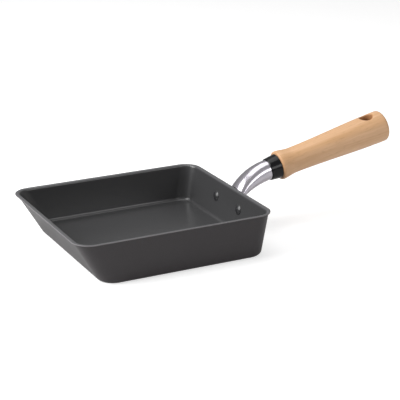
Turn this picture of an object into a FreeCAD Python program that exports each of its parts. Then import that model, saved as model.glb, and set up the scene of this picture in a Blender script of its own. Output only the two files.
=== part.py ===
# A rectangular pan for rolled omelettes, with a riveted neck and a turned wooden grip.
#
# The origin is the middle of the floor on the resting plane, +X points to the handle,
# +Y is across the pan and +Z is up. Everything is in millimetres and degrees.

import FreeCAD
import Part
import math
import os

V = FreeCAD.Vector

# Pan
rim_width = 160.0            # across the handle, over the lip
rim_length = 182.0           # along the handle, over the lip
pan_height = 38.7            # resting plane to the top of the lip
wall_thickness = 2.0
floor_thickness = 5.0        # thicker than the walls, to spread the heat
side_draft = 2.9             # lean of the two long walls from upright
handle_draft = 9.2           # lean of the wall that carries the handle
roll_draft = 30.5            # lean of the far wall, where the omelette is rolled and turned out
corner_radius = 14.3         # outside, wall to wall
base_radius = 4.1            # outside, wall to floor
floor_round = 3.2            # inside, wall to floor
lip_overhang = 1.4           # lip past the outside of the wall
lip_thickness = 1.2
lip_edge_round = 0.4         # cut edge of the lip
under_lip_round = 0.4        # outside of the bend under the lip
mouth_round = 2.0            # inside of the bend, wall to lip

# Rivets
rivet_pitch = 42.1           # between the two rivets
rivet_shank = 5.0            # diameter
rivet_head = 9.2             # diameter of the domed head inside the pan
rivet_head_rise = 1.9
formed_head = 8.6            # diameter of the head that is formed on the foot
formed_head_rise = 2.2
rivet_head_edge = 0.4        # upright edge under both domes

# Neck and its foot
neck_wall = 1.8
neck_diameter = 18.6         # round end, in the collar
neck_bend_radius = 54.0
neck_bend = 47.4             # from the grip's line down to the foot
neck_drop = 0.25             # the neck's line meets the foot below the rivet row
neck_lead = 1.8              # straight stretch in front of the collar
root_to_rivet = 2.4          # from the neck's root to the formed head of a rivet
neck_foot_depth = 3.9        # flattened end, square to the neck's line
core_end = 0.78              # the neck is hollow for this share of its bend
neck_stations = 5            # sections along the bend
foot_sheet = 2.0             # thickness of the foot
foot_margin = 1.6            # middle of the foot, above where the neck's upper side meets it
foot_below_lip = 1.8         # from the underside of the lip
ear_radius = 7.0             # foot around each rivet
foot_edge_round = 0.6
root_round = 2.5             # hollow corner between the neck and the foot

# Handle line
grip_tilt = 12.0             # above the horizontal

# Collar, the heat break between metal and wood
collar_length = 10.8
collar_front = 20.3          # diameter at the neck
collar_back = 22.7           # diameter at the grip
collar_edge = 0.5            # chamfer
socket_depth = 6.0           # the neck's end sits this deep in the collar
spigot_diameter = 15.0       # the collar's end that centres it in the grip
spigot_length = 4.0
spigot_spare = 0.3           # end clearance of the spigot

# Plug in the neck's mouth and the stud that draws grip, collar and neck together
plug_length = 6.0
plug_edge = 0.4              # chamfer
bolt_diameter = 6.0
bolt_proud = 1.5             # past the plug, inside the neck
bolt_clearance = 0.3         # around the stud in the collar
bolt_in_grip = 42.0
bolt_point = 8.0             # tapered end in the wood
bolt_tip = 1.6               # diameter of the blunt tip
bolt_edge = 0.6              # chamfer on the machine end
pilot_spare = 3.0            # drilled past the stud's tip

# Turned grip
grip_length = 115.9
grip_front = 24.4            # diameter of the front face
grip_bead = 26.8             # diameter of the bead behind the front face
grip_bead_at = 1.55          # from the front face
grip_waist = 23.6
grip_waist_at = 15.2
grip_swell = 26.7            # diameter halfway to the tail
grip_swell_at = 64.2
grip_tail = 29.4
tail_corner = 3.0            # radius at the tail
tail_dome = 44.2             # radius of the domed end
hole_diameter = 12.0         # hanging hole
hole_from_tail = 17.3
hole_round = 2.0             # both mouths of the hole

# How far a cutting tool reaches past the face that it opens
overrun = 2.0

# Heights and faces closer than this are the same one
same = 1e-3


def lean(draft):
    return math.tan(math.radians(draft))


def square_to(draft):
    return 1.0 / math.cos(math.radians(draft))


def foot_of(half_rim, draft):
    """Distance of a wall's outer plane from the rim's middle, where it meets the resting plane."""
    return half_rim - lip_overhang * square_to(draft) - pan_height * lean(draft)


side_foot = foot_of(rim_width / 2, side_draft)
base_half = (foot_of(rim_length / 2, handle_draft) + foot_of(rim_length / 2, roll_draft)) / 2

# The handle wall's own directions
wall_out = V(math.cos(math.radians(handle_draft)), 0, -math.sin(math.radians(handle_draft)))
wall_up = V(math.sin(math.radians(handle_draft)), 0, math.cos(math.radians(handle_draft)))
across = V(0, 1, 0)

# The flattened end of the neck lies between the two formed heads.
neck_foot_width = rivet_pitch - formed_head - 2 * (root_round + root_to_rivet)


def bend_normal(angle):
    """Upward normal of the neck's line where it climbs at this angle."""
    return V(-math.sin(math.radians(angle)), 0, math.cos(math.radians(angle)))


def neck_width(share):
    return neck_diameter + (neck_foot_width - neck_diameter) * share


def neck_depth(share):
    return neck_diameter + (neck_foot_depth - neck_diameter) * share ** 2


def upper_side(share):
    """Point of the neck's upper side at this share of its bend, from the end of the bend."""
    up = bend_normal(grip_tilt + neck_bend * share)
    end = bend_normal(grip_tilt + neck_bend)
    return (up - end) * neck_bend_radius + up * (neck_depth(share) / 2)


def root_reach():
    """Height up the wall, from the end of the bend, at which the upper side meets the foot's face."""
    outside, inside = 0.0, 1.0
    while inside - outside > same:
        middle = (outside + inside) / 2
        if upper_side(middle).dot(wall_out) > 0:
            outside = middle
        else:
            inside = middle
    return upper_side(inside).dot(wall_up)


# The foot clears the lip, and its middle takes in the neck's root.
foot_radius = root_reach() - neck_drop + foot_margin
rivet_height = pan_height - lip_thickness - foot_below_lip - foot_radius

# The rivet row on the outer face of the handle wall. In this frame X is across the pan,
# Y is up the wall and Z points out of it.
rivet_row = V(base_half + rivet_height * lean(handle_draft), 0, rivet_height)
wall_frame = FreeCAD.Placement(rivet_row, FreeCAD.Rotation(across, wall_up, wall_out, "ZXY"))
rivet_places = (-rivet_pitch / 2, rivet_pitch / 2)

# The neck's bend ends on the face of the foot and starts on the grip's line.
bend_end = rivet_row + wall_out * foot_sheet - wall_up * neck_drop
bend_centre = bend_end - bend_normal(grip_tilt + neck_bend) * neck_bend_radius
bend_start = bend_centre + bend_normal(grip_tilt) * neck_bend_radius

# The handle's own frame: Z runs along the grip's line from the start of the bend, Y is up.
handle_up = bend_normal(grip_tilt)
handle_line = V(handle_up.z, 0, -handle_up.x)
handle_frame = FreeCAD.Placement(bend_start, FreeCAD.Rotation(across, handle_up, handle_line, "ZXY"))

# Stations along the handle's line
collar_face = neck_lead
neck_mouth = collar_face + socket_depth
grip_face = collar_face + collar_length
grip_end = grip_face + grip_length
bolt_start = neck_mouth - plug_length - bolt_proud
bolt_end = grip_face + bolt_in_grip
hole_at = grip_end - hole_from_tail

neck_bore = neck_diameter - 2 * neck_wall


def in_frame(shape, frame):
    """The shape, built about the origin, set in a frame."""
    shape.Placement = frame.multiply(shape.Placement)
    return shape


def round_bar(diameter, start, end):
    """Cylinder on the local Z axis."""
    return Part.makeCylinder(diameter / 2, end - start, V(0, 0, start))


def turned(edges):
    """Solid of revolution about the local Z axis from a closed outline in its XZ plane."""
    return Part.Face(Part.Wire(edges)).revolve(V(0, 0, 0), V(0, 0, 1), 360)


def outline(points):
    """Straight edges through (radius, station) pairs."""
    corners = [V(radius, 0, station) for radius, station in points]
    return [Part.makeLine(a, b) for a, b in zip(corners, corners[1:])]


def drafted_block(inset, bottom, top):
    """Block between the four wall planes, each moved inwards by inset, with its corners rounded."""
    def reach(foot, draft, z):
        return foot + z * lean(draft) - inset * square_to(draft)

    def ring(z):
        handle = reach(base_half, handle_draft, z)
        roll = -reach(base_half, roll_draft, z)
        side = reach(side_foot, side_draft, z)
        return [V(roll, -side, z), V(handle, -side, z), V(handle, side, z), V(roll, side, z)]

    low, high = ring(bottom), ring(top)
    outlines = [low[::-1], high]
    for i in range(4):
        j = (i + 1) % 4
        outlines.append([low[i], low[j], high[j], high[i]])
    faces = [Part.Face(Part.makePolygon(points + points[:1])) for points in outlines]
    block = Part.makeSolid(Part.makeShell(faces))
    uprights = [e for e in block.Edges if e.BoundBox.ZLength > (top - bottom) / 2]
    return block.makeFillet(corner_radius - inset, uprights)


def tub(inset, bottom, top, edge_round):
    """Drafted block whose floor edge is rounded too."""
    block = drafted_block(inset, bottom, top)
    floor = min(block.Faces, key=lambda face: face.CenterOfMass.z)
    return block.makeFillet(edge_round, floor.Edges)


def flat_at(shape, z):
    """The level face of a shape at this height."""
    level = [f for f in shape.Faces if f.BoundBox.ZLength < same and abs(f.CenterOfMass.z - z) < same]
    return max(level, key=lambda face: face.Area)


def inner_edges(face):
    return [e for wire in face.Wires if not wire.isSame(face.OuterWire) for e in wire.Edges]


def make_pan_body():
    under_lip = pan_height - lip_thickness
    lip = drafted_block(-lip_overhang, 0.0, pan_height).cut(Part.makeBox(
        2 * rim_length, 2 * rim_width, under_lip, V(-rim_length, -rim_width, 0)))
    inside = tub(wall_thickness, floor_thickness, pan_height + overrun, floor_round)
    body = tub(0.0, 0.0, pan_height, base_radius).fuse(lip).cut(inside).removeSplitter()
    body = body.makeFillet(mouth_round, inner_edges(flat_at(body, pan_height)))
    body = body.makeFillet(under_lip_round, inner_edges(flat_at(body, under_lip)))
    for z in (pan_height, under_lip):
        body = body.makeFillet(lip_edge_round, flat_at(body, z).OuterWire.Edges)
    return body.cut(rivet_holes(-wall_thickness - overrun, overrun))


def rivet_holes(start, end):
    """Both rivet holes, between two depths from the wall's outer face."""
    bars = [round_bar(rivet_shank, start, end).translate(V(x, 0, 0)) for x in rivet_places]
    return in_frame(Part.makeCompound(bars), wall_frame)


def dome(diameter, edge_station, top_station):
    """Arc of a spherical cap, from its rim to its top on the axis."""
    radius = diameter / 2
    rise = top_station - edge_station
    ball = (radius ** 2 + rise ** 2) / (2 * rise)
    half = math.asin(radius / abs(ball)) / 2
    middle = V(abs(ball) * math.sin(half), 0, top_station - ball * (1 - math.cos(half)))
    return Part.Arc(V(radius, 0, edge_station), middle, V(0, 0, top_station)).toShape()


def make_rivet(place):
    head_seat = -wall_thickness
    foot_face = foot_sheet
    head_edge = head_seat - rivet_head_edge
    formed_edge = foot_face + rivet_head_edge
    head_top = head_seat - rivet_head_rise
    formed_top = foot_face + formed_head_rise
    side = outline([(rivet_head / 2, head_edge), (rivet_head / 2, head_seat),
                    (rivet_shank / 2, head_seat), (rivet_shank / 2, foot_face),
                    (formed_head / 2, foot_face), (formed_head / 2, formed_edge)])
    axis = outline([(0, formed_top), (0, head_top)])
    domes = [dome(rivet_head, head_edge, head_top), dome(formed_head, formed_edge, formed_top)]
    rivet = turned(Part.__sortEdges__(side + domes + axis))
    return in_frame(rivet.translate(V(place, 0, 0)), wall_frame)


def oval(centre, up, width, depth):
    """Closed oval across the pan and along up, as a circle stretched both ways."""
    curve = Part.Circle().toBSpline()
    for number, pole in enumerate(curve.getPoles(), 1):
        curve.setPole(number, centre + across * (pole.x * width / 2) + up * (pole.y * depth / 2))
    return Part.Wire(curve.toShape())


def neck_section(share, inset, past=0.0):
    """Section of the neck at this share of its bend, all round smaller by inset."""
    up = bend_normal(grip_tilt + neck_bend * share)
    pan_ward = V(-up.z, 0, up.x)
    centre = bend_centre + up * neck_bend_radius + pan_ward * past
    return oval(centre, up, neck_width(share) - 2 * inset, neck_depth(share) - 2 * inset)


def neck_form(end_share, inset):
    """Sections of the neck from its round end to a share of its bend."""
    return [neck_section(end_share * i / (neck_stations - 1), inset) for i in range(neck_stations)]


def foot_plate():
    """Flat foot with an ear around each rivet, drawn by tangents from its middle circle to the ears."""
    reach = rivet_pitch / 2
    slope = math.acos((foot_radius - ear_radius) / reach)
    tangent = V(math.cos(slope), math.sin(slope), 0)
    flip = V(-1, 1, 1), V(1, -1, 1), V(-1, -1, 1)

    def mirrored(point, signs):
        return V(point.x * signs.x, point.y * signs.y, 0)

    crown = tangent * foot_radius
    ear = V(reach, 0, 0) + tangent * ear_radius
    crowns = [crown] + [mirrored(crown, signs) for signs in flip]
    ears = [ear] + [mirrored(ear, signs) for signs in flip]
    edges = [Part.makeLine(a, b) for a, b in zip(crowns, ears)]
    for top, end, low in ((crowns[0], V(0, foot_radius, 0), crowns[1]),
                          (crowns[2], V(0, -foot_radius, 0), crowns[3]),
                          (ears[0], V(reach + ear_radius, 0, 0), ears[2]),
                          (ears[1], V(-reach - ear_radius, 0, 0), ears[3])):
        edges.append(Part.Arc(top, end, low).toShape())
    plate = Part.Face(Part.Wire(Part.__sortEdges__(edges))).extrude(V(0, 0, foot_sheet))
    front = max(plate.Faces, key=lambda face: face.CenterOfMass.z)
    return in_frame(plate.makeFillet(foot_edge_round, front.Edges), wall_frame)


def make_handle_neck():
    end = in_frame(round_bar(neck_diameter, 0, neck_mouth), handle_frame)
    bore = in_frame(round_bar(neck_bore, 0, neck_mouth + overrun), handle_frame)
    behind = in_frame(Part.makeBox(2 * rim_width, 2 * rim_width, rim_width,
                                   V(-rim_width, -rim_width, -rim_width)), wall_frame)
    bend = Part.makeLoft(neck_form(1.0, 0.0) + [neck_section(1.0, 0.0, neck_foot_width)], True)
    neck = bend.fuse([end, foot_plate()]).cut(behind)
    core = Part.makeLoft(neck_form(core_end, neck_wall), True).fuse(bore)
    neck = neck.cut(core).cut(rivet_holes(-overrun, foot_sheet + overrun)).removeSplitter()
    return neck.makeFillet(root_round, foot_root(neck))


def foot_root(neck):
    """Edges where the neck stands on the face of the foot."""
    face_at = rivet_row + wall_out * foot_sheet
    face = max((f for f in neck.Faces if abs((f.CenterOfMass - face_at).dot(wall_out)) < same),
               key=lambda f: f.Area)
    return [e for e in inner_edges(face) if e.Length > math.pi * formed_head]


def make_neck_plug():
    plug = round_bar(neck_bore, neck_mouth - plug_length, neck_mouth)
    plug = plug.makeChamfer(plug_edge, plug.Edges[:1] + plug.Edges[2:])
    return in_frame(plug.cut(round_bar(bolt_diameter, 0, neck_mouth + overrun)), handle_frame)


def make_hanger_bolt():
    radius = bolt_diameter / 2
    stud = turned(outline([(0, bolt_start), (radius - bolt_edge, bolt_start),
                           (radius, bolt_start + bolt_edge), (radius, bolt_end - bolt_point),
                           (bolt_tip / 2, bolt_end), (0, bolt_end), (0, bolt_start)]))
    return in_frame(stud, handle_frame)


def make_collar():
    hole = bolt_diameter / 2 + bolt_clearance
    front, back = collar_front / 2, collar_back / 2
    spigot_end = grip_face + spigot_length
    ring = turned(outline([(neck_diameter / 2, collar_face), (front - collar_edge, collar_face),
                           (front, collar_face + collar_edge), (back, grip_face - collar_edge),
                           (back - collar_edge, grip_face), (spigot_diameter / 2, grip_face),
                           (spigot_diameter / 2, spigot_end), (hole, spigot_end), (hole, neck_mouth),
                           (neck_diameter / 2, neck_mouth), (neck_diameter / 2, collar_face)]))
    return in_frame(ring, handle_frame)


def grip_outline():
    """Front face and bead, a shoulder down to the waist, a long swell, then the rounded and domed tail."""
    tail = grip_tail / 2
    corner_r = tail - tail_corner
    ball = tail_dome - tail_corner
    ball_centre = grip_end - tail_dome
    corner_at = ball_centre + math.sqrt(ball ** 2 - corner_r ** 2)
    across_ball = tail_dome / ball
    corner_end = V(corner_r * across_ball, 0, ball_centre + (corner_at - ball_centre) * across_ball)
    half = math.acos((corner_at - ball_centre) / ball)
    middle_turn = (half + math.pi / 2) / 2
    corner_middle = V(corner_r + tail_corner * math.sin(middle_turn), 0,
                      corner_at + tail_corner * math.cos(middle_turn))
    dome_middle = V(tail_dome * math.sin(half / 2), 0, ball_centre + tail_dome * math.cos(half / 2))
    side_end = V(tail, 0, corner_at)
    bead = V(grip_bead / 2, 0, grip_face + grip_bead_at)
    front = V(grip_front / 2, 0, grip_face)
    waist = V(grip_waist / 2, 0, grip_face + grip_waist_at)
    swell = V(grip_swell / 2, 0, grip_face + grip_swell_at)
    shoulder = Part.BSplineCurve()
    shoulder.interpolate([bead, waist], InitialTangent=V(0, 0, 1), FinalTangent=V(0, 0, 1))
    side = Part.BSplineCurve()
    side.interpolate([waist, swell, side_end], InitialTangent=V(0, 0, 1), FinalTangent=V(0, 0, 1))
    bulge = math.sqrt(0.5)
    bead_middle = V(front.x + (bead.x - front.x) * bulge, 0, bead.z - grip_bead_at * bulge)
    nose = Part.BSplineCurve()
    nose.interpolate([front, bead_middle, bead], InitialTangent=V(1, 0, 0), FinalTangent=V(0, 0, 1))
    return [Part.makeLine(V(0, 0, grip_face), front), nose.toShape(), shoulder.toShape(), side.toShape(),
            Part.Arc(side_end, corner_middle, corner_end).toShape(),
            Part.Arc(corner_end, dome_middle, V(0, 0, grip_end)).toShape(),
            Part.makeLine(V(0, 0, grip_end), V(0, 0, grip_face))]


def make_grip():
    wood = turned(grip_outline())
    hanging = Part.makeCylinder(hole_diameter / 2, 2 * grip_tail, V(0, -grip_tail, hole_at), V(0, 1, 0))
    wood = wood.cut(hanging)
    mouths = [e for e in wood.Edges if abs(e.CenterOfMass.z - hole_at) < hole_diameter / 2
              and abs(e.CenterOfMass.y) > hole_diameter / 2]
    wood = wood.makeFillet(hole_round, mouths)
    mouth = grip_face - overrun
    pilot = turned(outline([(0, mouth), (bolt_diameter / 2, mouth), (bolt_diameter / 2, bolt_end),
                            (0, bolt_end + pilot_spare), (0, mouth)]))
    seat = round_bar(spigot_diameter, mouth, grip_face + spigot_length + spigot_spare)
    return in_frame(wood.cut(pilot.fuse(seat)), handle_frame)


nodes = {
    "pan_body": make_pan_body(),
    "handle_neck": make_handle_neck(),
    "rivet_left": make_rivet(rivet_places[0]),
    "rivet_right": make_rivet(rivet_places[1]),
    "neck_plug": make_neck_plug(),
    "hanger_bolt": make_hanger_bolt(),
    "collar": make_collar(),
    "grip": make_grip(),
}

os.makedirs("parts", exist_ok=True)
for name, shape in nodes.items():
    shape.exportStep("parts/" + name + ".step")
    print(name, len(shape.Solids), "solid", shape.isValid(), round(shape.Volume, 1), "mm3")
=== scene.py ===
# %% [markdown]
# # A rolled-omelette pan
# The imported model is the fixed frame: it gives every size and every place, in metres, with the
# origin in the middle of the floor, +X towards the handle and +Z up. This lesson lays a smooth,
# finely divided skin over each piece that shows and gives it the finish of the real one.

# %% Load the frame
import bmesh
import bpy
import numpy as np
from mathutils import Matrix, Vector


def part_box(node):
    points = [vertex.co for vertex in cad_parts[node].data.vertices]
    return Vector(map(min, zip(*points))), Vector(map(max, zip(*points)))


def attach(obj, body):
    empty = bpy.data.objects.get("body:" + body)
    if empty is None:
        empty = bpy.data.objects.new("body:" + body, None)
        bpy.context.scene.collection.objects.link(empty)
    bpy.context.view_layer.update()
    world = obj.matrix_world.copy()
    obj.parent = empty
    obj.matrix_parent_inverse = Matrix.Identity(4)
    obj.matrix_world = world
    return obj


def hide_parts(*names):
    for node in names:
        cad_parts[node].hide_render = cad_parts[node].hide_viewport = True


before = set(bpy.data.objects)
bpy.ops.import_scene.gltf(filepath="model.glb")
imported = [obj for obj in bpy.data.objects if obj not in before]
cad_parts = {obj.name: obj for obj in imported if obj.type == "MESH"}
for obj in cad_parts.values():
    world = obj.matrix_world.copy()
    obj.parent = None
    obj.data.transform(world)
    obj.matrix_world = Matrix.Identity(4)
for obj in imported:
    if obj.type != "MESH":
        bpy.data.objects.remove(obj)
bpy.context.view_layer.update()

# %% [markdown]
# ## Sizes
# A scene can't read the drawing, so the sizes that a skin needs are written here once more, in
# millimetres and degrees, and every skin is worked out from them. A skin could also be copied
# from the frame's own triangles, but their flat facets show in a polished surface, and a formula
# can be divided as finely as the light needs.

# %% Sizes of the tray
mm = 0.001  # metres
rim_width, rim_length, pan_height = 160.0, 182.0, 38.7
wall_thickness, floor_thickness = 2.0, 5.0
side_draft, handle_draft, roll_draft = 2.9, 9.2, 30.5
corner_radius, base_radius, floor_round = 14.3, 4.1, 3.2
lip_overhang, lip_thickness = 1.4, 1.2
lip_edge_round, under_lip_round, mouth_round = 0.4, 0.4, 2.0

radians = np.radians


def foot_of(half_rim, draft):
    """Where a wall's outer plane meets the resting plane: the rim less the lip and the lean."""
    return half_rim - lip_overhang / np.cos(radians(draft)) - pan_height * np.tan(radians(draft))


side_foot = foot_of(rim_width / 2, side_draft)
base_half = (foot_of(rim_length / 2, handle_draft) + foot_of(rim_length / 2, roll_draft)) / 2
print("floor reaches", round(base_half, 1), "mm along and", round(side_foot, 1), "mm across")

# %% [markdown]
# ## From arrays to a mesh
# Every skin here is a stack of closed rings of points. Neighbouring rings are joined by quads,
# a ring that shrinks to one point closes the skin, and Blender then merges the doubled points
# and turns all faces outwards. Edges sharper than a set angle stay crisp, the rest is smooth.

# %% Rings to a finished piece
merge_gap = 2e-6  # metres: doubled points of seams and poles lie closer than this


def skin(rings, start=0):
    """Points and quads of a stack of rings: point j of a ring joins j + 1 and the same two of the next."""
    count, around = rings.shape[:2]
    i, j = np.meshgrid(np.arange(count - 1), np.arange(around), indexing="ij")
    k = (j + 1) % around
    quads = np.stack([i * around + j, i * around + k,
                      (i + 1) * around + k, (i + 1) * around + j], axis=-1)
    return rings.reshape(-1, 3), quads.reshape(-1, 4) + start


def make_piece(name, points, quads, node, slot, material, crisp=35.0):
    """A mesh from points in millimetres, standing for one node of the frame."""
    mesh = bpy.data.meshes.new(name)
    mesh.from_pydata((points * mm).tolist(), [], quads.tolist())
    shell = bmesh.new()
    shell.from_mesh(mesh)
    bmesh.ops.remove_doubles(shell, verts=shell.verts, dist=merge_gap)
    bmesh.ops.recalc_face_normals(shell, faces=shell.faces)
    shell.to_mesh(mesh)
    shell.free()
    mesh.polygons.foreach_set("use_smooth", np.ones(len(mesh.polygons), bool))
    mesh.set_sharp_from_angle(angle=radians(crisp))
    mesh.materials.append(material)
    piece = bpy.data.objects.new(name, mesh)
    bpy.context.scene.collection.objects.link(piece)
    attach(piece, "root")
    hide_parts(node)
    low, high = np.array(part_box(node)) / mm
    off = max(np.abs(points.min(0) - low).max(), np.abs(points.max(0) - high).max())
    print(name, len(mesh.vertices), "points,", len(mesh.polygons), "faces,",
          "box within", round(off, 2), "mm")
    return piece


# %% [markdown]
# ## Finishes
# A finish is a small net of shader nodes. One helper adds a node, sets it and links it, and one
# turns a colour as a painter writes it into the linear numbers that light adds up in. Patterns
# are laid out on Object coordinates in metres, so a scale is one over a real size.

# %% Helpers for shader nodes


def linear(code):
    """The sRGB curve undone: a hex colour as linear red, green, blue and a full alpha."""
    value = np.array([int(code[i:i + 2], 16) for i in (1, 3, 5)]) / 255
    value = np.where(value <= 0.04045, value / 12.92, ((value + 0.055) / 1.055) ** 2.4)
    return (*value.tolist(), 1.0)


def add(tree, kind, inputs=(), **settings):
    """Adds a node with its settings. An input that is another node's socket is linked, any other is set."""
    node = tree.nodes.new(kind)
    for name, value in settings.items():
        setattr(node, name, value)
    for name, value in dict(inputs).items():
        if isinstance(value, bpy.types.NodeSocket):
            tree.links.new(value, node.inputs[name])
        else:
            node.inputs[name].default_value = value
    return node


def new_finish(name):
    """An empty material and the socket of its place on the piece."""
    material = bpy.data.materials.new(name)
    material.use_nodes = True
    material.node_tree.nodes.clear()
    place = add(material.node_tree, "ShaderNodeTexCoord").outputs["Object"]
    return material, material.node_tree, place


def per_mm(size):
    """Scale of a pattern whose grain has this size in millimetres."""
    return 1.0 / mm / size


# %% [markdown]
# ### Baked coats
# The tray is aluminium under two baked coats. A smooth non-stick film covers the inside and the flat
# top of the rim, cool black and glossy enough to hold a blurred reflection. Outside is a heat-proof
# paint, warmer and duller. The rivets carry a film of their own, and its darker colour is partly
# painted shade on the domes. All are so dark that most of what the eye sees is the room in their
# skin, so their index and roughness matter more than their colour. Sprayed grain is a third of a
# millimetre, too fine for this picture, so it is drawn at one millimetre. Use rubs the top of the
# lip, where the coats are thin, a little lighter, and the same lighter band is partly a painted
# highlight along the lip's edge.
#
# The roughness of each smooth finish wanders, but keeps clear of about 0.27. The noise filter of the
# renderer seems to take smoother and rougher skins in two ways, and a finish that crosses it gets blotches.

# %% Baked coats
# The top band of the lip is lighter: partly wear, partly a painted highlight along the rim.
rub_and_highlight_from, rub_and_highlight_full = 0.8, 0.5  # millimetres below the top of the rim
satin_spread = 0.03  # of the roughness, either way


def coat_finish(name, dark, light, rub_and_highlight, rough, relief, index):
    finish, tree, place = new_finish(name)
    grain = add(tree, "ShaderNodeTexNoise", {
        "Vector": place, "Scale": per_mm(1.0), "Detail": 3.0, "Roughness": 0.6})
    cloud = add(tree, "ShaderNodeTexNoise", {"Vector": place, "Scale": per_mm(45.0), "Detail": 2.0})
    height = add(tree, "ShaderNodeSeparateXYZ", {"Vector": place})
    # Mask of the lip band, then the mix to its lighter colour, which is wear and painted highlight.
    lip = add(tree, "ShaderNodeMapRange", {
        "Value": height.outputs["Z"],
        "From Min": (pan_height - rub_and_highlight_from) * mm, "From Max": (pan_height - rub_and_highlight_full) * mm})
    film = add(tree, "ShaderNodeMix", {
        0: grain.outputs[0], 6: linear(dark), 7: linear(light)}, data_type="RGBA")
    rubbed_and_lit = add(tree, "ShaderNodeMix", {
        0: lip.outputs[0], 6: film.outputs[2], 7: linear(rub_and_highlight)}, data_type="RGBA")
    satin = add(tree, "ShaderNodeMapRange", {
        "Value": cloud.outputs[0], "To Min": rough - satin_spread, "To Max": rough + satin_spread})
    bump = add(tree, "ShaderNodeBump", {
        "Height": grain.outputs[0], "Strength": relief, "Distance": 0.04 * mm})
    shader = add(tree, "ShaderNodeBsdfPrincipled", {
        "Base Color": rubbed_and_lit.outputs[2], "Roughness": satin.outputs[0], "IOR": index,
        "Normal": bump.outputs[0]})
    add(tree, "ShaderNodeOutputMaterial", {"Surface": shader.outputs[0]})
    return finish


# The third colour of each coat is the lighter lip band, partly wear and partly painted highlight.
nonstick_film = coat_finish("baked_nonstick_film", "#3d3d3e", "#454546", "#5a5a5c", 0.31, 0.10, 1.6)
outer_paint = coat_finish("baked_heatproof_paint", "#332f31", "#3b3739", "#7e7b7d", 0.42, 0.25, 1.46)
# The rivets' film is darker than the pan's film, partly as painted shade on the domes.
rivet_film_with_painted_shade = coat_finish("baked_film_on_rivets_with_painted_shade", "#252527", "#2b2b2d", "#2b2b2d", 0.31, 0.05, 1.55)
print("coats:", nonstick_film.name, outer_paint.name, rivet_film_with_painted_shade.name)

# %% [markdown]
# ### Polished stainless steel
# The neck has a bright, soft polish: what it mirrors comes out as bands with blurred edges. Buffing
# leaves no lines that the eye can follow, only a faint unevenness, so the roughness is about a
# quarter and wanders a little over the width of a buffing wheel's touch.

# %% Polished stainless steel


def polished_finish():
    finish, tree, place = new_finish("polished_stainless_steel")
    touch = add(tree, "ShaderNodeTexNoise", {"Vector": place, "Scale": per_mm(6.0), "Detail": 2.0})
    haze = add(tree, "ShaderNodeMapRange", {"Value": touch.outputs[0], "To Min": 0.22, "To Max": 0.26})
    tint = add(tree, "ShaderNodeMix", {
        0: touch.outputs[0], 6: linear("#c1bdc5"), 7: linear("#c9c5cc")}, data_type="RGBA")
    shader = add(tree, "ShaderNodeBsdfPrincipled", {
        "Base Color": tint.outputs[2], "Metallic": 1.0, "Roughness": haze.outputs[0]})
    add(tree, "ShaderNodeOutputMaterial", {"Surface": shader.outputs[0]})
    return finish


polished_steel = polished_finish()
print("metal:", polished_steel.name)

# %% [markdown]
# ### Black phenolic resin
# The collar is pressed from phenolic resin, which stands the heat of the neck. Its skin comes from
# a smooth mould: deep black with a soft satin shine and a very fine orange-peel.

# %% Black phenolic resin


def phenolic_finish():
    finish, tree, place = new_finish("moulded_black_phenolic")
    peel = add(tree, "ShaderNodeTexNoise", {"Vector": place, "Scale": per_mm(1.2), "Detail": 2.0})
    skin_tone = add(tree, "ShaderNodeMix", {
        0: peel.outputs[0], 6: linear("#050507"), 7: linear("#0b0b0e")}, data_type="RGBA")
    satin = add(tree, "ShaderNodeMapRange", {"Value": peel.outputs[0], "To Min": 0.15, "To Max": 0.25})
    bump = add(tree, "ShaderNodeBump", {
        "Height": peel.outputs[0], "Strength": 0.15, "Distance": 0.05 * mm})
    shader = add(tree, "ShaderNodeBsdfPrincipled", {
        "Base Color": skin_tone.outputs[2], "Roughness": satin.outputs[0], "IOR": 1.37,
        "Normal": bump.outputs[0]})
    add(tree, "ShaderNodeOutputMaterial", {"Surface": shader.outputs[0]})
    return finish


black_phenolic = phenolic_finish()
print("resin:", black_phenolic.name)

# %% [markdown]
# ### Plain steel
# The plug and the stud inside the handle never show. They keep the frame's own shape and get the
# dull grey of bare turned steel.

# %% Bare turned steel on the two hidden nodes


def turned_steel_finish():
    finish, tree, place = new_finish("bare_turned_steel")
    turning = add(tree, "ShaderNodeTexNoise", {"Vector": place, "Scale": per_mm(0.5), "Detail": 2.0})
    tone = add(tree, "ShaderNodeMix", {
        0: turning.outputs[0], 6: linear("#8f8f93"), 7: linear("#a5a5a8")}, data_type="RGBA")
    shader = add(tree, "ShaderNodeBsdfPrincipled", {
        "Base Color": tone.outputs[2], "Metallic": 1.0, "Roughness": 0.35})
    add(tree, "ShaderNodeOutputMaterial", {"Surface": shader.outputs[0]})
    return finish


turned_steel = turned_steel_finish()
for hidden in ("neck_plug", "hanger_bolt"):
    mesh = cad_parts[hidden].data
    mesh.materials.clear()
    mesh.materials.append(turned_steel)
    print(turned_steel.name, "on", hidden)

# %% [markdown]
# ## The tray
# The pan is one piece of aluminium: a thick floor that spreads the heat, three steep walls, one
# low-angled wall to roll the omelette over, rounded corners and a narrow lip. It could be boxes with
# bevels, but the walls lean by different angles, so the skin is one profile carried round the tray.
# The profile is a list of heights and reaches for each wall, and a ring of it is four straight sides
# joined by arcs.

# %% Profile of the tray, one column for each wall
# walls in turn: handle side (+X), far side (+Y), roll side (-X), near side (-Y)
wall_foot = np.array([base_half, side_foot, base_half, side_foot])
wall_draft = radians(np.array([handle_draft, side_draft, roll_draft, side_draft]))


def plane_at(z, inset):
    """Reach of the four wall planes at a height, each moved inwards by an inset square to itself."""
    return wall_foot + z * np.tan(wall_draft) - inset / np.cos(wall_draft)


def rolled(z, inset, radius, first, last, steps):
    """Arc of a ball of this radius that touches a wall plane: centre at height z and the wall's reach,
    turned from one direction to another, each an angle above straight outwards."""
    turn = np.linspace(0, 1, steps)[:, None]
    angle = first + (last - first) * turn
    reach = plane_at(z, inset) + radius * np.cos(angle)
    return np.stack([reach, z + radius * np.sin(angle)], axis=-1)


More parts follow.
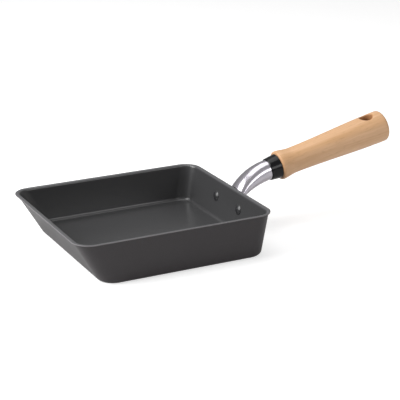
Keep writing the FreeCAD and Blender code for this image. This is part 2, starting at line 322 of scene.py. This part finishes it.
def straight(before, after, share):
    """Points between the end of one arc and the start of the next, at these shares of the way."""
    share = np.array(share)[:, None, None]
    return before[-1] * (1 - share) + after[0] * share


quarter = np.pi / 2
down, level, upward = -quarter + 0 * wall_draft, -wall_draft, quarter + 0 * wall_draft
inward = np.pi - wall_draft
under_lip = pan_height - lip_thickness

outer_floor = rolled(base_radius, base_radius, base_radius, down, level, 9)
lip_hollow = rolled(under_lip - under_lip_round, -under_lip_round, under_lip_round, inward, upward, 5)
lip_inset = lip_edge_round - lip_overhang
lip_below = rolled(under_lip + lip_edge_round, lip_inset, lip_edge_round, down, level, 5)
lip_above = rolled(pan_height - lip_edge_round, lip_inset, lip_edge_round, level, upward, 6)
mouth = rolled(pan_height - mouth_round, wall_thickness - mouth_round, mouth_round, upward, inward, 9)
inner_floor = rolled(floor_thickness + floor_round, wall_thickness + floor_round, floor_round,
                     level, down, 9)
profile = np.concatenate([
    outer_floor, straight(outer_floor, lip_hollow, (0.04, 0.5, 0.97)), lip_hollow, lip_below, lip_above,
    mouth, straight(mouth, inner_floor, (0.04, 0.5, 0.96)), inner_floor])
print("profile:", profile.shape[0], "stations for", profile.shape[1], "walls")

# %% Rings of the tray
corner_steps = 17
support = 1.5 / rim_width  # share of a side, a little over a millimetre


def tray_rings(stations):
    """Each station as a ring: four straight sides, joined by arcs whose radius grows and shrinks with
    the inset. The arc's angle also carries the height from one wall's value to the next."""
    reach, z = stations[..., 0], stations[..., 1]
    inset = ((wall_foot + z * np.tan(wall_draft) - reach) * np.cos(wall_draft)).mean(1)
    radius = (corner_radius - inset)[:, None]
    rings = []
    for corner in range(4):
        following = (corner + 1) % 4
        along = reach[:, [corner if corner % 2 == 0 else following]] - radius
        across = reach[:, [following if corner % 2 == 0 else corner]] - radius
        side_x, side_y = (1, -1, -1, 1)[corner], (1, 1, -1, -1)[corner]
        turn = np.linspace(0, 1, corner_steps)[None, :]
        angle = quarter * (corner + turn)
        x = side_x * along + radius * np.cos(angle)
        y = side_y * across + radius * np.sin(angle)
        height = z[:, [corner]] * (1 - turn) + z[:, [following]] * turn
        rings.append(np.stack([x, y, height], axis=-1))
    sides = [with_supports(ring, rings[(i + 1) % 4]) for i, ring in enumerate(rings)]
    return np.concatenate(sides, axis=1)


def with_supports(arc, next_arc):
    """An arc and two points close to the ends of the straight side after it, which keep it flat."""
    share = np.array([support, 1 - support])[None, :, None]
    return np.concatenate([arc, arc[:, -1:] * (1 - share) + next_arc[:, :1] * share], axis=1)


def to_middle(ring, shares):
    """Copies of a ring drawn in towards its middle, which fill a flat floor."""
    middle = ring.mean(0) * np.array([1, 0, 1])
    return middle + (ring - middle) * np.array(shares)[:, None, None]


tray = tray_rings(profile)
tray = np.concatenate([to_middle(tray[0], (0, 0.5, 0.97)), tray, to_middle(tray[-1], (0.97, 0.5, 0))])
pan = make_piece("coated_tray", *skin(tray), "pan_body", "coated_aluminium", outer_paint, crisp=50.0)

# %% [markdown]
# The film covers every face that looks towards the middle of the mouth, and the paint covers the
# rest. One product of two arrays tells them apart: a face's normal, and the way from its centre to
# that middle. The flat top of the rim lies level with that middle, so its product is zero but for
# rounding, and a small slack gives it the film too.

# %% Film inside, paint outside
level_slack = 1e-6  # metres
faces = pan.data.polygons
centre, normal = np.empty(3 * len(faces)), np.empty(3 * len(faces))
faces.foreach_get("center", centre)
faces.foreach_get("normal", normal)
mouth_middle = np.array([0.0, 0.0, pan_height * mm])
towards = ((mouth_middle - centre.reshape(-1, 3)) * normal.reshape(-1, 3)).sum(1)
looks_in = towards > -level_slack
pan.data.materials.append(nonstick_film)
faces.foreach_set("material_index", looks_in.astype(np.int32))
print("film on", int(looks_in.sum()), "of", len(faces), "faces")

# %% [markdown]
# ## The handle's two frames
# The rivets and the foot are drawn on the handle wall, and the collar and the grip on the line of
# the handle. A frame is an origin and three directions, so a piece can be drawn flat and then set.

# %% Sizes of the rivets, the neck and the line of the handle
rivet_pitch, rivet_shank, rivet_head, rivet_head_rise = 42.1, 5.0, 9.2, 1.9
formed_head, formed_head_rise, rivet_head_edge = 8.6, 2.2, 0.4
neck_diameter, neck_bend_radius, neck_bend, neck_lead, neck_drop = 18.6, 54.0, 47.4, 1.8, 0.25
neck_foot_depth, root_round, root_to_rivet = 3.9, 2.5, 2.4
foot_sheet, foot_margin, foot_below_lip, ear_radius, foot_edge_round = 2.0, 1.6, 1.8, 7.0, 0.6
grip_tilt = 12.0
neck_foot_width = rivet_pitch - formed_head - 2 * (root_round + root_to_rivet)
print("neck spreads from", neck_diameter, "to", round(neck_foot_width, 1), "mm")

# %% [markdown]
# The neck's line is needed before its skin, because the foot, and with it the rivet row, sits where
# the neck's upper side meets the wall. No plain formula gives that place, so the stretch in which it
# lies is halved until it is short enough.

# %% Line of the neck
past_foot, halvings = 1.6, 40  # share of the bend at which the search starts, and its steps

wall_out = np.array([np.cos(wall_draft[0]), 0, -np.sin(wall_draft[0])])
wall_up = np.array([np.sin(wall_draft[0]), 0, np.cos(wall_draft[0])])
across = np.array([0.0, 1.0, 0.0])


def climb_normal(angle):
    """Upward normal of a line that climbs at this angle, in degrees."""
    angle = radians(angle)
    return np.stack([-np.sin(angle), 0 * angle, np.cos(angle)], axis=-1)


def neck_point(share, turn):
    """Point of the neck's skin. The line of the neck is an arc from the grip to the foot, and runs on
    straight past the foot; the section is an oval that widens evenly and flattens with the square."""
    bent = np.clip(share, 0, 1)
    up = climb_normal(grip_tilt + neck_bend * bent)
    end = climb_normal(grip_tilt + neck_bend + 0 * bent)
    run = (share - bent) * neck_bend_radius * radians(neck_bend)
    pan_ward = np.stack([-up[..., 2], 0 * bent, up[..., 0]], axis=-1)
    width = neck_diameter + (neck_foot_width - neck_diameter) * bent
    depth = neck_diameter + (neck_foot_depth - neck_diameter) * bent ** 2
    line = (up - end) * neck_bend_radius + pan_ward * run[..., None]
    return (line + across * (width / 2 * np.cos(turn))[..., None]
            + up * (depth / 2 * np.sin(turn))[..., None])


def meets_foot(turn):
    """Share of the bend at which each line of the skin meets the foot's face, by halving the stretch."""
    outside, inside = 0 * turn, 0 * turn + past_foot
    for _ in range(halvings):
        middle = (outside + inside) / 2
        out = neck_point(middle, turn) @ wall_out > 0
        outside, inside = np.where(out, middle, outside), np.where(out, inside, middle)
    return inside


reach_up = neck_point(meets_foot(np.array(quarter)), np.array(quarter)) @ wall_up
print("the upper side meets the foot", round(float(reach_up), 2), "mm above the end of the bend")

# %% Where the two frames sit
foot_radius = reach_up - neck_drop + foot_margin
rivet_height = pan_height - lip_thickness - foot_below_lip - foot_radius
rivet_row = np.array([base_half + rivet_height * np.tan(wall_draft[0]), 0, rivet_height])
bend_end = rivet_row + wall_out * foot_sheet - wall_up * neck_drop
handle_up = climb_normal(np.array(grip_tilt))
handle_line = np.array([handle_up[2], 0, -handle_up[0]])
bend_start = bend_end + (handle_up - climb_normal(np.array(grip_tilt + neck_bend))) * neck_bend_radius


def on_wall(points):
    """Points drawn across, up and out of the wall, set about the middle of the rivet row."""
    return rivet_row + points @ np.stack([across, wall_up, wall_out])


def on_handle(points):
    """Points drawn across, up and along the handle, set from the start of the neck's bend."""
    return bend_start + points @ np.stack([across, handle_up, handle_line])


def turned(radius, station, around):
    """Rings of a turned piece: each radius and station carried once round the axis."""
    turn = np.linspace(0, 2 * np.pi, around, endpoint=False)[None, :]
    radius, station = radius[:, None], station[:, None]
    return np.stack([radius * np.cos(turn), radius * np.sin(turn), station * np.ones_like(turn)], axis=-1)


print("rivet row", rivet_row.round(2), "bend starts at", bend_start.round(2),
      "foot radius", round(float(foot_radius), 2))

# %% [markdown]
# ## Two rivets
# Each rivet is a turned shape: a low dome inside the pan, a shank through wall and foot, and a
# rounder head formed on the foot. The domes are caps of a ball, drawn as arcs up to the axis.

# %% Rivets


def cap(diameter, edge, top, steps):
    """Radius and station along a ball's cap, from its rim to its top."""
    radius, rise = diameter / 2, top - edge
    ball = (radius ** 2 + rise ** 2) / (2 * rise)
    turn = np.linspace(np.arcsin(radius / abs(ball)), 0, steps)
    return abs(ball) * np.sin(turn), top - ball * (1 - np.cos(turn))


def rivet_rings(place):
    """Rings from the top of the inner dome along the shank to the top of the formed head."""
    inside, outside = -wall_thickness, foot_sheet
    head_r, head_z = cap(rivet_head, inside - rivet_head_edge, inside - rivet_head_rise, 14)
    formed_r, formed_z = cap(formed_head, outside + rivet_head_edge, outside + formed_head_rise, 14)
    shank_r = np.array([rivet_head, rivet_shank, rivet_shank, formed_head]) / 2
    shank_z = np.array([inside, inside, outside, outside])
    radius = np.concatenate([head_r[::-1], shank_r, formed_r])
    station = np.concatenate([head_z[::-1], shank_z, formed_z])
    return on_wall(turned(radius, station, 48) + np.array([place, 0, 0]))


for name, place in (("rivet_left", -rivet_pitch / 2), ("rivet_right", rivet_pitch / 2)):
    make_piece("domed_" + name, *skin(rivet_rings(place)), name, "coated_rivet", rivet_film_with_painted_shade, crisp=40.0)

# %% [markdown]
# ## The neck and its foot
# The neck is the piece that takes skill: a round tube that bends, flattens and spreads into a foot
# with an ear round each rivet. The oval sections run down to the foot's face, a hollow curve leads
# out of them on to that face, and the same lines go on over the edge of the foot to the wall, so
# neck and foot are one unbroken skin.

# %% Skin of the neck
around = 192
turn = np.linspace(0, 2 * np.pi, around, endpoint=False)
collar_face, socket_depth = neck_lead, 6.0
neck_mouth = collar_face + socket_depth
crown_blend, crown_lift = 1.4, 1.1  # a fuller hollow above, where neck and foot meet at a sharp angle
edge_clear = 0.5  # from the hollow to the round of the foot's edge


def foot_outline(angle):
    """Distance from the middle of the foot to its edge: the middle circle, a line that touches it and
    the ear's circle, and the ear's circle, by turns as the angle goes from upright to across."""
    reach = rivet_pitch / 2
    touch = np.arccos((foot_radius - ear_radius) / reach)
    folded = np.arctan2(np.abs(np.sin(angle)), np.abs(np.cos(angle)))
    ear_from = np.arctan2(ear_radius * np.sin(touch), reach + ear_radius * np.cos(touch))
    line = foot_radius / np.cos(np.minimum(folded, touch) - touch)
    low = np.minimum(folded, ear_from)
    ear = reach * np.cos(low) + np.sqrt(np.maximum(ear_radius ** 2 - (reach * np.sin(low)) ** 2, 0))
    return np.where(folded >= touch, foot_radius, np.where(folded >= ear_from, line, ear))


def neck_rings():
    """Rings from the mouth along the bend, through the hollow at the root and over the foot's edge. The
    hollow is a curve with three guides: the end of the bend, the root's corner and its landing."""
    root = meets_foot(turn)
    above = np.maximum(np.sin(turn), 0) ** 2
    blend = (root_round + crown_blend * above) / (neck_bend_radius * radians(neck_bend))
    share = np.linspace(0, 1, 64)[:, None] * (root - blend)[None, :]
    bent = neck_point(share, np.broadcast_to(turn, share.shape)) + bend_end
    lead = turned(np.full(4, neck_diameter / 2), np.linspace(neck_mouth, 0, 5)[:4], around)
    corner = neck_point(root, turn) + bend_end
    flat = np.stack([(corner - rivet_row) @ across, (corner - rivet_row) @ wall_up], axis=-1)
    angle = np.arctan2(flat[:, 1], flat[:, 0])
    edge = foot_outline(angle)
    size = np.hypot(flat[:, 0], flat[:, 1])
    spread = np.minimum(size + root_round, edge - foot_edge_round - edge_clear)
    heading = np.stack([np.cos(angle), np.sin(angle), 0 * angle], axis=-1)
    landing = on_wall(heading * spread[:, None] + np.array([0, 0, foot_sheet]))
    lifted = corner + wall_out * (crown_lift * above)[:, None]
    t = np.linspace(0, 1, 12)[1:, None, None]
    hollow = bent[-1] * (1 - t) ** 2 + lifted * 2 * t * (1 - t) + landing * t ** 2
    fall = np.linspace(0, quarter, 6)
    rim = edge[None] - foot_edge_round * (1 - np.sin(fall))[:, None]
    drop = foot_sheet - foot_edge_round * (1 - np.cos(fall))
    over = heading[None] * rim[..., None] + np.array([0, 0, 1]) * drop[:, None, None]
    back = heading[None] * np.stack([edge, 0 * edge])[..., None]
    closing = on_handle(turned(np.zeros(1), np.full(1, neck_mouth), around))
    return np.concatenate([closing, on_handle(lead), bent, hollow, on_wall(over), on_wall(back)])


make_piece("polished_neck", *skin(neck_rings()), "handle_neck", "polished_steel", polished_steel,
           crisp=40.0)

# %% [markdown]
# ## The collar
# The collar keeps the heat of the neck away from the wood. It is a short moulded cone with crisp
# chamfers: the neck's end sits in its front, and a spigot behind it centres the grip.

# %% Collar
collar_length, collar_front, collar_back, collar_edge = 10.8, 20.3, 22.7, 0.5
spigot_diameter, spigot_length = 15.0, 4.0
bolt_hole = 6.6  # clear of the stud
grip_face = collar_face + collar_length


def collar_rings():
    """A closed outline carried round the handle's line; its last ring is the first again."""
    spigot_end = grip_face + spigot_length
    diameter, station = np.array([
        (neck_diameter, collar_face), (collar_front - 2 * collar_edge, collar_face),
        (collar_front, collar_face + collar_edge), (collar_back, grip_face - collar_edge),
        (collar_back - 2 * collar_edge, grip_face), (spigot_diameter, grip_face),
        (spigot_diameter, spigot_end), (bolt_hole, spigot_end), (bolt_hole, neck_mouth),
        (neck_diameter, neck_mouth), (neck_diameter, collar_face)]).T
    return on_handle(turned(diameter / 2, station, 128))


make_piece("heat_break_collar", *skin(collar_rings()), "collar", "black_phenolic", black_phenolic,
           crisp=25.0)

# %% [markdown]
# ## Beech
# The grip is turned from beech, a pale tan wood with a fine, even grain, under a thin lacquer. Three
# things show: broad soft bands from the growth rings, fine streaks along the fibres, and short darker
# flecks. All run along the handle, so the pattern is first turned level with it. Where the fibres are
# cut across, at the front shoulder and in the hanging hole, the wood soaks up lacquer and goes deeper.

# %% Lacquered beech
grip_length = 115.9
hole_diameter, hole_from_tail, hole_round = 12.0, 17.3, 2.0
grip_end = grip_face + grip_length
hole_at = grip_end - hole_from_tail
shoulder_depth = 2.2  # of the deeper colour behind the front face
stain_from, stain_full = 1.4, 0.1  # outside the bore, where its deeper colour starts and is full


def beech_finish():
    finish, tree, place = new_finish("lacquered_beech")
    start = bend_start * mm
    level_turn = radians(grip_tilt)
    level_x = start[0] * np.cos(level_turn) + start[2] * np.sin(level_turn)
    level_z = start[2] * np.cos(level_turn) - start[0] * np.sin(level_turn)
    along = add(tree, "ShaderNodeMapping", {
        "Vector": place, "Rotation": (0, level_turn, 0), "Location": (-level_x, 0, -level_z)}).outputs[0]
    band_map = add(tree, "ShaderNodeMapping", {
        "Vector": along, "Scale": (per_mm(150), per_mm(9), per_mm(14))})
    bands = add(tree, "ShaderNodeTexNoise", {
        "Vector": band_map.outputs[0], "Scale": 1.0, "Detail": 3.0, "Distortion": 0.4})
    fibre_map = add(tree, "ShaderNodeMapping", {
        "Vector": along, "Scale": (per_mm(34), per_mm(1.3), per_mm(1.3))})
    fibres = add(tree, "ShaderNodeTexNoise", {
        "Vector": fibre_map.outputs[0], "Scale": 1.0, "Detail": 2.0})
    fleck_map = add(tree, "ShaderNodeMapping", {
        "Vector": along, "Scale": (per_mm(6), per_mm(0.9), per_mm(0.9))})
    flecks = add(tree, "ShaderNodeTexNoise", {
        "Vector": fleck_map.outputs[0], "Scale": 1.0, "Detail": 0.0})
    fleck = add(tree, "ShaderNodeMapRange", {
        "Value": flecks.outputs[0], "From Min": 0.66, "From Max": 0.76})
    band = add(tree, "ShaderNodeMapRange", {
        "Value": bands.outputs[0], "From Min": 0.3, "From Max": 0.7})
    pale = add(tree, "ShaderNodeMix", {
        0: band.outputs[0], 6: linear("#f4c79d"), 7: linear("#e2b07f")}, data_type="RGBA")
    fibre = add(tree, "ShaderNodeMapRange", {
        "Value": fibres.outputs[0], "From Min": 0.35, "From Max": 0.75, "To Max": 0.35})
    streak = add(tree, "ShaderNodeMix", {
        0: fibre.outputs[0], 6: pale.outputs[2], 7: linear("#d19e6b")}, data_type="RGBA")
    strength = add(tree, "ShaderNodeMath", {0: fleck.outputs[0], 1: 0.15}, operation="MULTIPLY")
    flecked = add(tree, "ShaderNodeMix", {
        0: strength.outputs[0], 6: streak.outputs[2], 7: linear("#a06a3a")}, data_type="RGBA")
    parts = add(tree, "ShaderNodeSeparateXYZ", {"Vector": along})
    front = add(tree, "ShaderNodeMapRange", {
        "Value": parts.outputs["X"], "From Min": (grip_face + shoulder_depth) * mm,
        "From Max": grip_face * mm, "To Max": 0.6})
    shoulder = add(tree, "ShaderNodeMix", {
        0: front.outputs[0], 6: flecked.outputs[2], 7: linear("#d8a273")}, data_type="RGBA")
    from_hole = add(tree, "ShaderNodeVectorMath", {0: along, 1: (-hole_at * mm, 0, 0)}, operation="ADD")
    flat = add(tree, "ShaderNodeVectorMath", {0: from_hole.outputs[0], 1: (1, 1, 0)}, operation="MULTIPLY")
    away = add(tree, "ShaderNodeVectorMath", {0: flat.outputs[0]}, operation="LENGTH")
    bore = hole_diameter / 2
    inside = add(tree, "ShaderNodeMapRange", {
        "Value": away.outputs["Value"], "From Min": (bore + stain_from) * mm,
        "From Max": (bore + stain_full) * mm, "To Max": 0.85})
    bored = add(tree, "ShaderNodeMix", {
        0: inside.outputs[0], 6: shoulder.outputs[2], 7: linear("#b07a4c")}, data_type="RGBA")
    gloss = add(tree, "ShaderNodeMapRange", {"Value": fibres.outputs[0], "To Min": 0.42, "To Max": 0.58})
    bump = add(tree, "ShaderNodeBump", {
        "Height": fibres.outputs[0], "Strength": 0.2, "Distance": 0.06 * mm})
    shader = add(tree, "ShaderNodeBsdfPrincipled", {
        "Base Color": bored.outputs[2], "Roughness": gloss.outputs[0], "IOR": 1.45,
        "Normal": bump.outputs[0], "Coat Weight": 0.35, "Coat Roughness": 0.4})
    add(tree, "ShaderNodeOutputMaterial", {"Surface": shader.outputs[0]})
    return finish


lacquered_beech = beech_finish()
print("wood:", lacquered_beech.name)

# %% [markdown]
# ## The turned grip
# A lathe gives the grip its line: a small bead at the front, a waist for the fingers, a long swell
# and a rounded tail. A hole to hang it by is bored through the tail. A turned surface has no room
# for such a hole, so a window is left out of its grid above and below, and a band of rings leads
# from each window's border to the round mouth and down through the bore.

# %% Line of the grip
grip_front, grip_bead, grip_bead_at = 24.4, 26.8, 1.55
grip_waist, grip_waist_at, grip_swell, grip_swell_at = 23.6, 15.2, 26.7, 64.2
grip_tail, tail_corner, tail_dome = 29.4, 3.0, 44.2

ball_centre = grip_end - tail_dome
ball_reach = tail_dome - tail_corner
corner_r = grip_tail / 2 - tail_corner
corner_at = ball_centre + np.sqrt(ball_reach ** 2 - corner_r ** 2)
knot_at = np.array([
    grip_face + grip_bead_at, grip_face + grip_waist_at, grip_face + grip_swell_at, corner_at])
knot_r = np.array([grip_bead, grip_waist, grip_swell, grip_tail]) / 2


def swell_slope():
    """Slope at the swell with which the bend runs on evenly through it, from the rise on either side."""
    waist_gap, tail_gap = np.diff(knot_at)[1:]
    waist_rise, tail_rise = np.diff(knot_r)[1:] / (waist_gap, tail_gap)
    return 1.5 * (tail_gap * waist_rise + waist_gap * tail_rise) / (waist_gap + tail_gap)


# The line is level at the bead, the waist and the tail.
slopes = np.array([0.0, 0.0, swell_slope(), 0.0])


def side_radius(station):
    """Radius of the grip between bead and tail: cubic pieces through the knots with their slopes."""
    piece = np.clip(np.searchsorted(knot_at, station) - 1, 0, 2)
    gap = knot_at[piece + 1] - knot_at[piece]
    t = (station - knot_at[piece]) / gap
    start, end = knot_r[piece], knot_r[piece + 1]
    return (start * (1 + 2 * t) * (1 - t) ** 2 + end * t ** 2 * (3 - 2 * t)
            + gap * (slopes[piece] * t * (1 - t) ** 2 - slopes[piece + 1] * t ** 2 * (1 - t)))


print("grip line: knots at", knot_at.round(1), "with radius", knot_r.round(2))

# %% Stations along the grip
window_half, window_steps, side_steps = 10.0, 24, 100
window_from, window_to = hole_at - window_half, hole_at + window_half
side_station = np.concatenate([
    np.linspace(knot_at[0], window_from, side_steps),
    np.linspace(window_from, window_to, window_steps + 1)[1:],
    np.linspace(window_to, corner_at, 4)[1:]])
nose = np.linspace(0, quarter, 10)[:-1]
tail_turn = np.linspace(quarter, np.arccos((corner_at - ball_centre) / ball_reach), 12)[1:]
dome_turn = np.linspace(tail_turn[-1], 0, 12)[1:]
grip_station = np.concatenate([
    [grip_face], grip_face + grip_bead_at * (1 - np.cos(nose)), side_station,
    corner_at + tail_corner * np.cos(tail_turn), ball_centre + tail_dome * np.cos(dome_turn)])
grip_radius = np.concatenate([
    [0.0], grip_front / 2 + (grip_bead - grip_front) / 2 * np.sin(nose), side_radius(side_station),
    corner_r + tail_corner * np.sin(tail_turn), tail_dome * np.sin(dome_turn)])
print("grip line:", len(grip_station), "stations, up to", round(2 * grip_radius.max(), 2), "mm thick")

# %% Skin of the grip with its hole
columns, half_columns = 144, 17
first_row = len(nose) + side_steps  # the front's middle and the nose come first
last_row = first_row + window_steps


def hole_mouth(side):
    """Numbers of the grid points round a window, walked so that the loops of both mouths match."""
    middle = columns // 4 if side > 0 else 3 * columns // 4
    cols = middle - side * np.arange(-half_columns, half_columns + 1)
    rows = np.arange(first_row, last_row + 1)
    row = np.concatenate([0 * cols[:-1] + first_row, rows[:-1], 0 * cols[:-1] + last_row, rows[:0:-1]])
    col = np.concatenate([cols[:-1], 0 * rows[:-1] + cols[-1], cols[:0:-1], 0 * rows[:-1] + cols[0]])
    return row * columns + col % columns


def mouth_rings(border, side):
    """Rings from a window's border over the turned surface to the rounded mouth and into the bore. In
    plan they shrink to circles; their height is that of the turned surface, then a curve turned down."""
    plan = border[:, [2, 0]] - np.array([hole_at, 0])
    heading = plan / np.hypot(plan[:, 0], plan[:, 1])[:, None]
    bore = hole_diameter / 2

    def lifted(flat):
        height = np.sqrt(side_radius(flat[..., 0] + hole_at) ** 2 - flat[..., 1] ** 2)
        return np.stack([flat[..., 1], side * height, flat[..., 0] + hole_at], axis=-1)

    t = np.linspace(0, 1, 6)[1:, None, None]
    spread = lifted(plan * (1 - t) + heading * (bore + hole_round) * t)
    edge = lifted(heading * bore)
    wall = edge - np.array([0, side * hole_round, 0])
    t = np.linspace(0, 1, 9)[1:, None, None]
    rounded = spread[-1] * (1 - t) ** 2 + edge * 2 * t * (1 - t) + wall * t ** 2
    return np.concatenate([spread, rounded])


def grip_skin():
    """The turned grid without its two windows, and one tube of rings from window to window."""
    grid = turned(grip_radius, grip_station, columns)
    points, quads = skin(grid)
    cell = np.arange(len(quads))
    row, col = cell // columns, cell % columns
    upper = np.abs(col + 0.5 - columns / 4) < half_columns
    lower = np.abs(col + 0.5 - 3 * columns / 4) < half_columns
    quads = quads[~((row >= first_row) & (row < last_row) & (upper | lower))]
    loops = [hole_mouth(1), hole_mouth(-1)]
    rings = [mouth_rings(points[loop], side) for loop, side in zip(loops, (1, -1))]
    t = np.linspace(0, 1, 8)[1:-1, None, None]
    bore = rings[0][-1] * (1 - t) + rings[1][-1] * t
    tube = np.concatenate([
        points[loops[0]][None], rings[0], bore, rings[1][::-1], points[loops[1]][None]])
    tube_points, tube_quads = skin(tube, len(points))
    return on_handle(np.concatenate([points, tube_points])), np.concatenate([quads, tube_quads])


make_piece("turned_grip", *grip_skin(), "grip", "beech", lacquered_beech, crisp=40.0)

# %% [markdown]
# ## Studio
# The pan stands on a plain pale floor under soft light. The floor is a round sweep of white paper
# whose edge curves up. Under these lamps alone it would look grey, so it has a faint glow for the
# camera, weaker in reflections, that sheds no light on matt surfaces. The room around is dim, and
# brighter in reflections, as pale walls are. The lamps can then stay at a plain level, at which a
# colour comes out about as it is written.

# %% White paper
glow_seen, glow_mirrored = 0.65, 0.2


def sweep_finish():
    finish, tree, _ = new_finish("white_sweep")
    ray = add(tree, "ShaderNodeLightPath")
    mirrored = add(tree, "ShaderNodeMath", {
        0: ray.outputs["Is Glossy Ray"], 1: ray.outputs["Is Transmission Ray"]}, operation="MAXIMUM")
    faint = add(tree, "ShaderNodeMath", {0: mirrored.outputs[0], 1: glow_mirrored}, operation="MULTIPLY")
    share = add(tree, "ShaderNodeMath", {
        0: ray.outputs["Is Camera Ray"], 1: glow_seen, 2: faint.outputs[0]}, operation="MULTIPLY_ADD")
    paper = add(tree, "ShaderNodeBsdfDiffuse", {"Color": linear("#dcdcdc")})
    white = add(tree, "ShaderNodeEmission", {"Color": (1, 1, 1, 1), "Strength": share.outputs[0]})
    mix = add(tree, "ShaderNodeAddShader", {0: paper.outputs[0], 1: white.outputs[0]})
    add(tree, "ShaderNodeOutputMaterial", {"Surface": mix.outputs[0]})
    return finish


white_sweep = sweep_finish()
print("paper:", white_sweep.name)

# %% Floor
sweep_reach, sweep_bend, sweep_height = 4.0, 0.4, 1.0
sweep_gap = 0.0002  # keeps the paper clear of the tray that stands on it


def sweep_surface():
    """Disc and wall as one turned surface: a flat floor, a quarter circle, and a short upright."""
    bend = np.linspace(0, quarter, 13)
    curved = sweep_reach - sweep_bend + sweep_bend * np.sin(bend)
    reach = np.concatenate([[0, 1.0, 2.0], curved, [sweep_reach]])
    height = np.concatenate([[0, 0, 0], sweep_bend * (1 - np.cos(bend)), [sweep_height]])
    return skin(turned(reach, height - sweep_gap, 96))


points, quads = sweep_surface()
floor_mesh = bpy.data.meshes.new("sweep")
floor_mesh.from_pydata(points.tolist(), [], quads.tolist())
floor_mesh.polygons.foreach_set("use_smooth", np.ones(len(quads), bool))
floor_mesh.materials.append(white_sweep)
floor = bpy.data.objects.new("sweep", floor_mesh)
bpy.context.scene.collection.objects.link(floor)
print("floor:", len(quads), "faces")

# %% Room
room_level, room_mirrored = 0.08, 0.4

world = bpy.data.worlds.new("studio_room")
bpy.context.scene.world = world
world.use_nodes = True
world.node_tree.nodes.clear()
ray = add(world.node_tree, "ShaderNodeLightPath")
seen = add(world.node_tree, "ShaderNodeMath", {
    0: ray.outputs["Is Glossy Ray"], 1: ray.outputs["Is Transmission Ray"]}, operation="MAXIMUM")
brightness = add(world.node_tree, "ShaderNodeMapRange", {
    "Value": seen.outputs[0], "To Min": room_level, "To Max": room_mirrored})
room = add(world.node_tree, "ShaderNodeBackground", {
    "Color": (1, 1, 1, 1), "Strength": brightness.outputs[0]})
add(world.node_tree, "ShaderNodeOutputWorld", {"Surface": room.outputs[0]})
print("room:", world.name)

# %% [markdown]
# Three soft boxes light the pan. The strongest stands on the side of the low-angled wall, whose outside
# is the brightest side of the pan. A low, wide one stands in front, and one hangs overhead.

# %% Lamps


def softbox(name, place, target, width, height, power):
    """An area lamp that looks from its place at a target, in metres and watts."""
    lamp = bpy.data.lights.new(name, "AREA")
    lamp.shape, lamp.size, lamp.size_y, lamp.energy = "RECTANGLE", width, height, power
    holder = bpy.data.objects.new(name, lamp)
    holder.location = place
    holder.rotation_mode = "QUATERNION"
    holder.rotation_quaternion = (Vector(target) - Vector(place)).to_track_quat("-Z", "Y")
    bpy.context.scene.collection.objects.link(holder)
    print(name, width, "by", height, "m,", power, "W")


def around_pan(azimuth, elevation, distance):
    """A place at this azimuth from +X, elevation and distance from the frame's origin, in metres."""
    turn, climb = radians(azimuth), radians(elevation)
    flat = np.cos(climb)
    return distance * np.array([flat * np.cos(turn), flat * np.sin(turn), np.sin(climb)])


pan_middle = (0.05, 0.0, 0.03)
softbox("front_softbox", around_pan(-69, 23, 1.5), pan_middle, 1.05, 0.45, 4.9)
softbox("left_softbox", around_pan(168, 32, 1.3), pan_middle, 0.85, 1.1, 20.0)
softbox("top_softbox", around_pan(90, 81, 1.4), pan_middle, 1.1, 1.1, 7.6)

# %% [markdown]
# ## Camera
# The view comes from a camera fitted to the pan's edges: 27 degrees round to the roll side, 19 degrees
# up, and from far enough that the walls hardly converge.

# %% Camera and view settings
azimuth, elevation, distance = radians(-26.890), radians(19.314), 1.2420
look_at = Vector((0.049614, 0.0, 0.030938))
sensor, focal_pixels, image_width = 36.0, 1399.13, 400
flat = np.cos(elevation)
back = Vector((np.sin(azimuth) * flat, -np.cos(azimuth) * flat, np.sin(elevation)))
lens = bpy.data.cameras.new("portrait")
lens.sensor_width, lens.lens = sensor, focal_pixels / image_width * sensor
camera = bpy.data.objects.new("portrait", lens)
camera.location = look_at + back * distance
camera.rotation_mode = "QUATERNION"
camera.rotation_quaternion = (-back).to_track_quat("-Z", "Y")
bpy.context.scene.collection.objects.link(camera)
bpy.context.scene.camera = camera
bpy.context.scene.view_settings.view_transform = "Standard"
print("camera:", round(lens.lens), "mm lens,", round(distance, 2), "m away")
